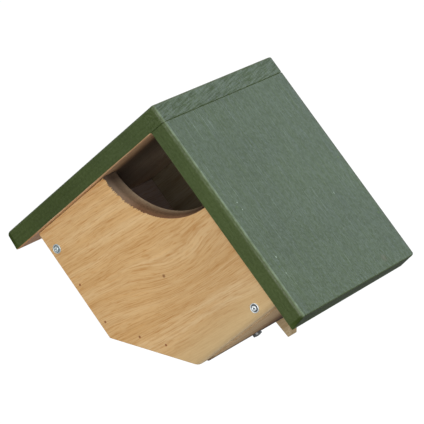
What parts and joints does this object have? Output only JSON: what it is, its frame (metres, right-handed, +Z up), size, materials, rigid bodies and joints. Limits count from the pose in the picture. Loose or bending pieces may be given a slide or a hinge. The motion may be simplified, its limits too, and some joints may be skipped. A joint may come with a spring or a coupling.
{
  "type": "nest box",
  "caption": "Wall-hung open-fronted nest box: green gable roof over a wooden diamond body, round-bottomed entrance under the ridge, side wall that swings out for cleaning.",
  "frame": {"origin": "middle of the upper fixing hole, on the back face that lies against the wall", "axes": "+Z up, +Y into the wall, +X to the right as seen from in front, so the front faces -Y"},
  "size_m": [0.269, 0.154, 0.2209],
  "materials": {
    "green_paint": "satin paint, brushed on",
    "softwood": "plain planed softwood",
    "zinc_plate": "bright zinc plate",
    "brad_steel": "dull, lightly rusted"
  },
  "bodies": {
    "box": {"left_roof_board": "green_paint", "right_roof_board": "green_paint", "front_panel": "softwood", "back_board": "softwood", "left_wall": "softwood", "floor_board": "softwood", "front_left_screw": "zinc_plate", "rear_left_screw": "zinc_plate", "front_pivot_screw": "zinc_plate", "rear_pivot_screw": "zinc_plate", "left_roof_front_brads": "brad_steel", "left_roof_rear_brads": "brad_steel", "right_roof_front_brads": "brad_steel", "right_roof_rear_brads": "brad_steel", "ridge_brads": "brad_steel", "left_wall_front_brads": "brad_steel", "left_wall_rear_brads": "brad_steel", "floor_front_brads": "brad_steel", "floor_rear_brads": "brad_steel"},
    "door": {"door_wall": "softwood"},
    "lock": {"lock_screw": "zinc_plate"}
  },
  "joints": [
    {"name": "door_swing", "type": "hinge", "parent": "box", "child": "door", "pos_m": [0.08886, -0.074, -0.06875], "axis": [0, -1, 0], "range_deg": [0, 95]},
    {"name": "lock_draw", "type": "slide", "parent": "door", "child": "lock", "axis": [0.7057, 0, -0.7085], "range_m": [0, 0.008]}
  ]
}
